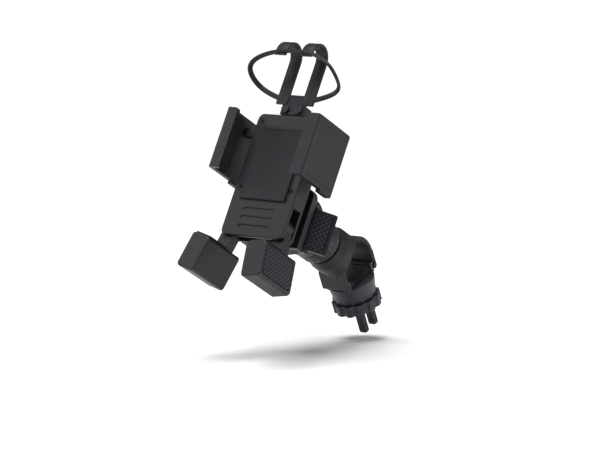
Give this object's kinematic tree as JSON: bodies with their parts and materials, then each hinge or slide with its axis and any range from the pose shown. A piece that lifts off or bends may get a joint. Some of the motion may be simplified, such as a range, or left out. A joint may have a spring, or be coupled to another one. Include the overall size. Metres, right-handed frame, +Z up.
{
  "type": "phone handlebar mount",
  "caption": "Leaned-back phone cradle with geared side jaws, splayed feet and an elastic top band, on a ball joint and a knob-tightened handlebar clamp.",
  "frame": {"origin": "middle of the handlebar bore", "axes": "+X along the handlebar to the rider's right, -Y towards the rider, +Z up; the cradle leans back 29 degrees"},
  "size_m": [0.09, 0.1906, 0.2331],
  "materials": {
    "clamp_body": "fine matt grain",
    "clamp_liner": "matt, textured",
    "ball_stud": "satin",
    "clamp_bridge": "fine matt grain",
    "saddle": "fine matt grain",
    "saddle_pad": "matt, textured",
    "knob_wheel": "fine matt grain",
    "knob_wings": "fine matt grain",
    "clamp_screw": "satin",
    "retaining_clip": "satin",
    "ball_cup_front": "fine matt grain",
    "ball_cup_rear": "fine matt grain",
    "rear_housing": "fine matt grain",
    "vibration_dampers": "matt, textured",
    "cradle_box": "fine matt grain",
    "cradle_cover": "fine matt grain",
    "cover_screws": "satin",
    "phone_pad": "matt, textured",
    "leg_pins": "satin",
    "paddle_pins": "satin",
    "paddle_springs": "satin",
    "silicone_band": "matt, textured",
    "band_buttons": "fine matt grain",
    "ring_nut": "fine matt grain",
    "jaw_right": "fine matt grain",
    "jaw_pad_right": "matt, textured",
    "jaw_left": "fine matt grain",
    "jaw_pad_left": "matt, textured",
    "gear_pinion": "fine matt grain",
    "leg_right": "fine matt grain",
    "foot_grip_right": "matt, textured",
    "foot_rest_right": "matt, textured",
    "leg_left": "fine matt grain",
    "foot_grip_left": "matt, textured",
    "foot_rest_left": "matt, textured",
    "paddle_right": "fine matt grain",
    "paddle_grip_right": "matt, textured",
    "paddle_left": "fine matt grain",
    "paddle_grip_left": "matt, textured"
  },
  "bodies": {
    "clamp": {"clamp_body": "clamp_body", "clamp_liner": "clamp_liner", "ball_stud": "ball_stud"},
    "bridge": {"clamp_bridge": "clamp_bridge"},
    "saddle_block": {"saddle": "saddle", "saddle_pad": "saddle_pad"},
    "knob": {"knob_wheel": "knob_wheel", "knob_wings": "knob_wings", "clamp_screw": "clamp_screw", "retaining_clip": "retaining_clip"},
    "cup_front": {"ball_cup_front": "ball_cup_front"},
    "cup_rear": {"ball_cup_rear": "ball_cup_rear"},
    "cradle": {"rear_housing": "rear_housing", "vibration_dampers": "vibration_dampers", "cradle_box": "cradle_box", "cradle_cover": "cradle_cover", "cover_screws": "cover_screws", "phone_pad": "phone_pad", "leg_pins": "leg_pins", "paddle_pins": "paddle_pins", "paddle_springs": "paddle_springs", "silicone_band": "silicone_band", "band_buttons": "band_buttons"},
    "nut": {"ring_nut": "ring_nut"},
    "right_jaw": {"jaw_right": "jaw_right", "jaw_pad_right": "jaw_pad_right"},
    "left_jaw": {"jaw_left": "jaw_left", "jaw_pad_left": "jaw_pad_left"},
    "pinion": {"gear_pinion": "gear_pinion"},
    "right_leg": {"leg_right": "leg_right", "foot_grip_right": "foot_grip_right", "foot_rest_right": "foot_rest_right"},
    "left_leg": {"leg_left": "leg_left", "foot_grip_left": "foot_grip_left", "foot_rest_left": "foot_rest_left"},
    "right_paddle": {"paddle_right": "paddle_right", "paddle_grip_right": "paddle_grip_right"},
    "left_paddle": {"paddle_left": "paddle_left", "paddle_grip_left": "paddle_grip_left"}
  },
  "joints": [
    {"name": "bridge_slide", "type": "slide", "parent": "clamp", "child": "bridge", "axis": [1, 0, 0], "range_m": [0, 0.034]},
    {"name": "saddle_travel", "type": "slide", "parent": "bridge", "child": "saddle_block", "axis": [0, 0.4067, -0.9135], "range_m": [0, 0.003]},
    {"name": "knob_turn", "type": "hinge", "parent": "bridge", "child": "knob", "pos_m": [0, 0, 0], "axis": [0, 0.4067, -0.9135], "range_deg": [0, 720]},
    {"name": "ball_tilt", "type": "hinge", "parent": "clamp", "child": "cup_front", "pos_m": [0, -0.03813, 0.0211], "axis": [1, 0, 0], "range_deg": [-10, 10]},
    {"name": "ball_lean", "type": "hinge", "parent": "cup_front", "child": "cup_rear", "pos_m": [0, -0.03813, 0.0211], "axis": [0, 0.4848, 0.8746], "range_deg": [-10, 10]},
    {"name": "ball_swivel", "type": "hinge", "parent": "cup_rear", "child": "cradle", "pos_m": [0, -0.03813, 0.0211], "axis": [0, -0.8746, 0.4848], "continuous": true},
    {"name": "nut_turn", "type": "hinge", "parent": "cradle", "child": "nut", "pos_m": [0, -0.03813, 0.0211], "axis": [0, -0.8746, 0.4848], "range_deg": [-180, 180]},
    {"name": "right_jaw_slide", "type": "slide", "parent": "cradle", "child": "right_jaw", "axis": [1, 0, 0], "range_m": [-0.008, 0.01]},
    {"name": "left_jaw_slide", "type": "slide", "parent": "cradle", "child": "left_jaw", "axis": [-1, 0, 0], "range_m": [-0.008, 0.01]},
    {"name": "pinion_turn", "type": "hinge", "parent": "cradle", "child": "pinion", "pos_m": [0, -0.07622, 0.09263], "axis": [0, -0.8746, 0.4848], "range_deg": [-62, 77]},
    {"name": "right_leg_splay", "type": "hinge", "parent": "cradle", "child": "right_leg", "pos_m": [0.0225, -0.10652, 0.03797], "axis": [0, -0.8746, 0.4848], "range_deg": [-14, 14]},
    {"name": "left_leg_splay", "type": "hinge", "parent": "cradle", "child": "left_leg", "pos_m": [-0.0225, -0.10652, 0.03797], "axis": [0, 0.8746, -0.4848], "range_deg": [-14, 14]},
    {"name": "right_paddle_press", "type": "hinge", "parent": "cradle", "child": "right_paddle", "pos_m": [0.0245, -0.07602, 0.03421], "axis": [0, 0.4848, 0.8746], "range_deg": [0, 16], "stiffness_Nm_per_rad": 0.2, "springref_deg": -8.59},
    {"name": "left_paddle_press", "type": "hinge", "parent": "cradle", "child": "left_paddle", "pos_m": [-0.0245, -0.07602, 0.03421], "axis": [0, -0.4848, -0.8746], "range_deg": [0, 16], "stiffness_Nm_per_rad": 0.2, "springref_deg": -8.59}
  ],
  "couplings": [
    {"joint": "left_jaw_slide", "follows": "right_jaw_slide", "ratio": 1},
    {"joint": "pinion_turn", "follows": "right_jaw_slide", "rad_per_m": 133.33},
    {"joint": "saddle_travel", "follows": "knob_turn", "m_per_rad": 0.00023873}
  ]
}
